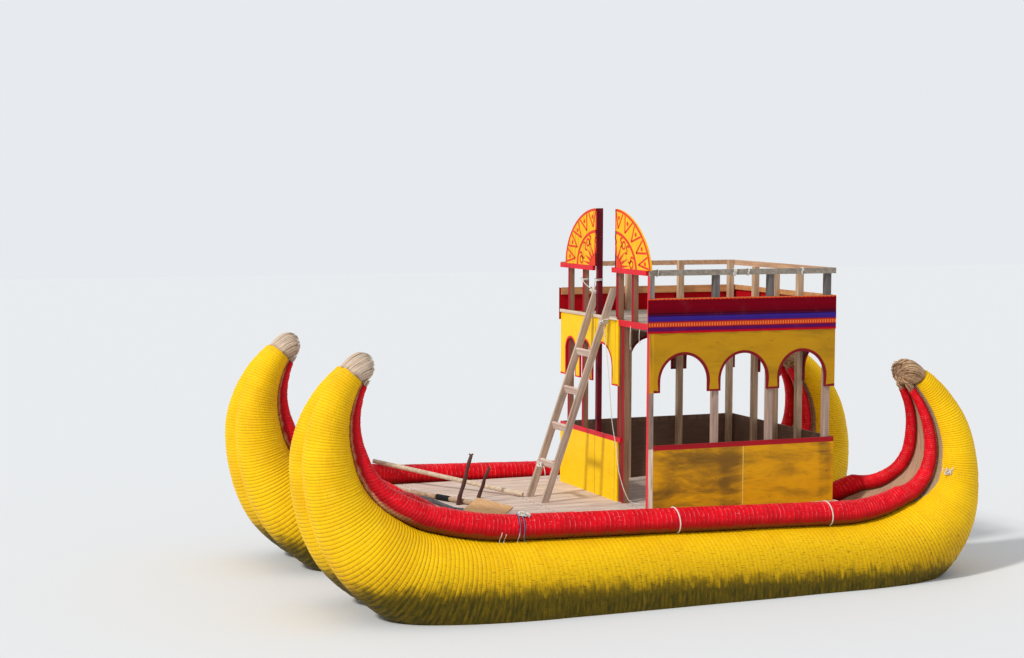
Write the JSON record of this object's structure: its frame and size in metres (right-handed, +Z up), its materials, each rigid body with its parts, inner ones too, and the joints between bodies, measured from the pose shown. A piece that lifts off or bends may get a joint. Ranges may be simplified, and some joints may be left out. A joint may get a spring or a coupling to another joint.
{
  "type": "reed boat",
  "caption": "Double-hulled reed boat of wound bundles with upturned bow and stern, plank deck, two-level timber cabin, sun boards, ladder and oars.",
  "frame": {"origin": "halfway along and across the boat, level with the underside of the hulls", "axes": "+X towards the bow, +Y to port, +Z up"},
  "size_m": [6.9651, 4.1796, 3.9173],
  "materials": {
    "painted_reed_yellow": "painted reed, wound with cord",
    "painted_reed_red": "painted reed, wound with cord",
    "bare_reed": "cut reed ends",
    "weathered_wood": "weathered planks",
    "bare_wood": "sawn timber",
    "dark_wood": "stained sticks",
    "red_wood": "painted timber",
    "yellow_plywood": "painted plywood, worn",
    "bare_plywood": "unpainted plywood",
    "sun_board_paint": "painted board",
    "striped_cloth": "woven stripes",
    "white_cord": "twisted cord",
    "black_rubber": "rubber strip, wound on"
  },
  "bodies": {
    "root": {"corner_post": "red_wood", "dark_oar": "dark_wood", "deck_beams": "weathered_wood", "deck_planks": "weathered_wood", "door_posts": "red_wood", "front_mid_rail": "red_wood", "front_panel": "yellow_plywood", "front_valance": "yellow_plywood", "front_wall_posts": "red_wood", "gate_post": "red_wood", "hanging_line": "white_cord", "ladder_rails": "bare_wood", "ladder_rungs": "bare_wood", "light_oar": "bare_wood", "light_oar_wrap": "black_rubber", "loose_board": "bare_plywood", "lower_bars": "bare_wood", "pole": "weathered_wood", "port_bow_tuft": "bare_reed", "port_cloth_band": "striped_cloth", "port_inner_bundle": "painted_reed_yellow", "port_inner_roll": "painted_reed_red", "port_mid_rail": "red_wood", "port_outer_bundle": "painted_reed_yellow", "port_outer_roll": "painted_reed_red", "port_panels": "yellow_plywood", "port_stern_tuft": "bare_reed", "port_sun_board": "sun_board_paint", "port_valance": "yellow_plywood", "port_wall_posts": "bare_wood", "rear_cloth_band": "striped_cloth", "rear_mid_rail": "red_wood", "rear_panel": "yellow_plywood", "rear_valance": "yellow_plywood", "rear_wall_posts": "bare_wood", "roof_beams": "bare_wood", "roof_edge_board": "bare_wood", "roof_fascia": "red_wood", "roof_planks": "bare_wood", "starboard_bow_tuft": "bare_reed", "starboard_cloth_band": "striped_cloth", "starboard_inner_bundle": "painted_reed_yellow", "starboard_inner_roll": "painted_reed_red", "starboard_mid_rail": "red_wood", "starboard_outer_bundle": "painted_reed_yellow", "starboard_outer_roll": "painted_reed_red", "starboard_panels": "yellow_plywood", "starboard_stern_tuft": "bare_reed", "starboard_sun_board": "sun_board_paint", "starboard_valance": "yellow_plywood", "starboard_wall_posts": "bare_wood", "sun_bases": "red_wood", "thole_pins": "dark_wood", "top_rails": "weathered_wood", "upper_posts": "red_wood"}
  },
  "joints": []
}
